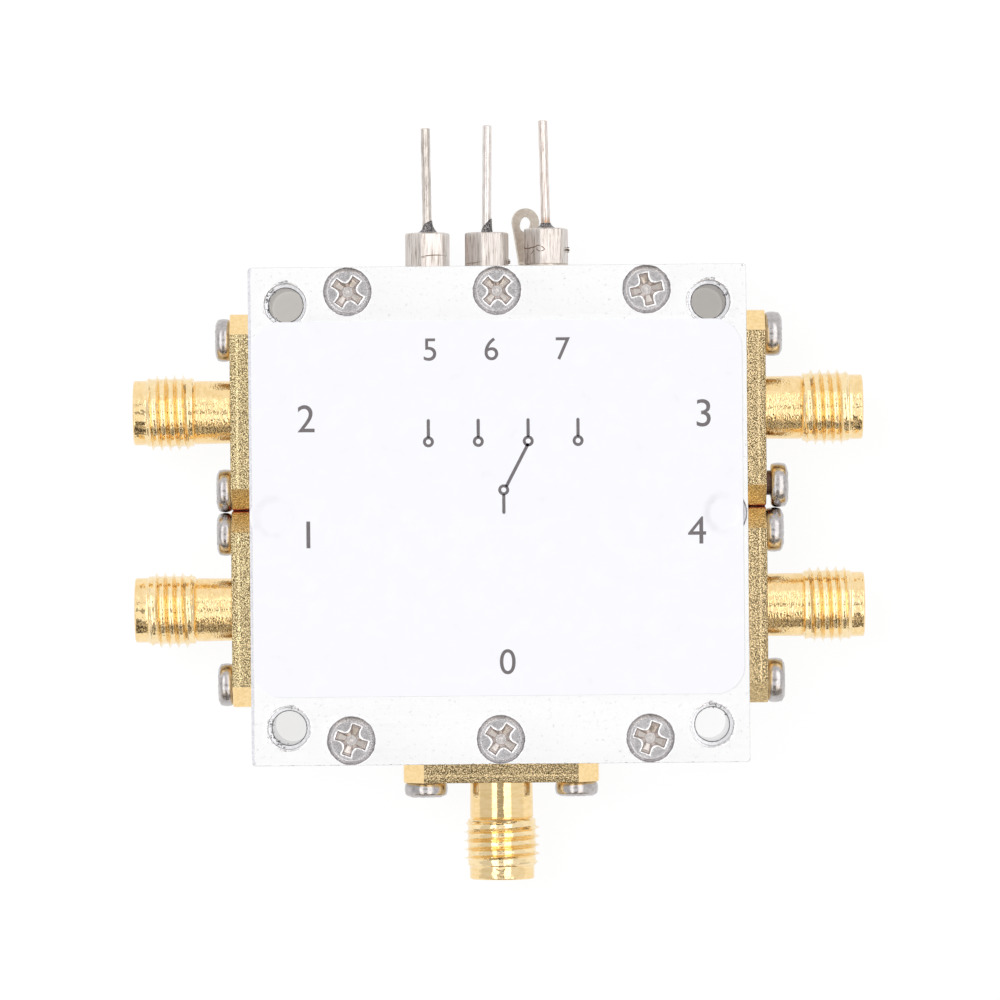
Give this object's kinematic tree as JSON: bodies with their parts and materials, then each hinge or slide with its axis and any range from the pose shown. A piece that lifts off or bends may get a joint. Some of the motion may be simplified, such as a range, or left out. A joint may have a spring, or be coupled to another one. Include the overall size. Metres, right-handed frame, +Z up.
{
  "type": "rf switch module",
  "caption": "Flat square aluminium radio-frequency switch enclosure with flanged coaxial jacks on its sides, feedthrough control pins, a solder lug and a label on its screwed lid.",
  "frame": {"origin": "centre of the housing's bottom face, amid the four mounting holes", "axes": "+Z up through the lid, +Y towards the wall with the three feedthroughs, +X to the right in the picture, towards jacks 3 and 4"},
  "size_m": [0.059, 0.0617, 0.0121],
  "materials": {
    "housing": "milled and bead blasted",
    "lid": "fine bead blasted, very pale",
    "label": "matt white sticker",
    "screw_steel": "plain turned and rolled steel",
    "gold_plate": "gold-plated brass",
    "white_insulator": "white fluoropolymer",
    "contact_gold": "gold-plated spring alloy",
    "feed_metal": "nickel-plated brass",
    "tinned_wire": "tinned copper",
    "capacitor_ceramic": "fired ceramic",
    "black_resin": "cast black epoxy resin",
    "tin_plate": "warm tin plate",
    "board_laminate": "solder-masked laminate",
    "copper": "etched copper",
    "chip_plastic": "moulded black plastic",
    "part_ceramic": "fired ceramic with tinned ends",
    "resistor_black": "black glazed film on ceramic",
    "solder": "smooth solder"
  },
  "bodies": {
    "root": {"housing_body": "housing", "lid": "lid", "label": "label", "lid_screws": "screw_steel", "flange_screws": "screw_steel", "port_1_shell": "gold_plate", "port_2_shell": "gold_plate", "port_3_shell": "gold_plate", "port_4_shell": "gold_plate", "common_port_shell": "gold_plate", "port_1_insulator": "white_insulator", "port_2_insulator": "white_insulator", "port_3_insulator": "white_insulator", "port_4_insulator": "white_insulator", "common_port_insulator": "white_insulator", "port_1_contact": "contact_gold", "port_2_contact": "contact_gold", "port_3_contact": "contact_gold", "port_4_contact": "contact_gold", "common_port_contact": "contact_gold", "feedthrough_1_body": "feed_metal", "feedthrough_2_body": "feed_metal", "feedthrough_3_body": "feed_metal", "feedthrough_1_lead": "tinned_wire", "feedthrough_2_lead": "tinned_wire", "feedthrough_3_lead": "tinned_wire", "feedthrough_1_ceramic": "capacitor_ceramic", "feedthrough_2_ceramic": "capacitor_ceramic", "feedthrough_3_ceramic": "capacitor_ceramic", "feedthrough_1_seals": "black_resin", "feedthrough_2_seals": "black_resin", "feedthrough_3_seals": "black_resin", "ground_lug": "tin_plate", "circuit_board": "board_laminate", "copper_traces": "copper", "board_screws": "screw_steel", "switch_chip": "chip_plastic", "blocking_capacitors": "part_ceramic", "bypass_capacitors": "part_ceramic", "series_resistors": "resistor_black", "solder_joints": "solder"}
  },
  "joints": []
}
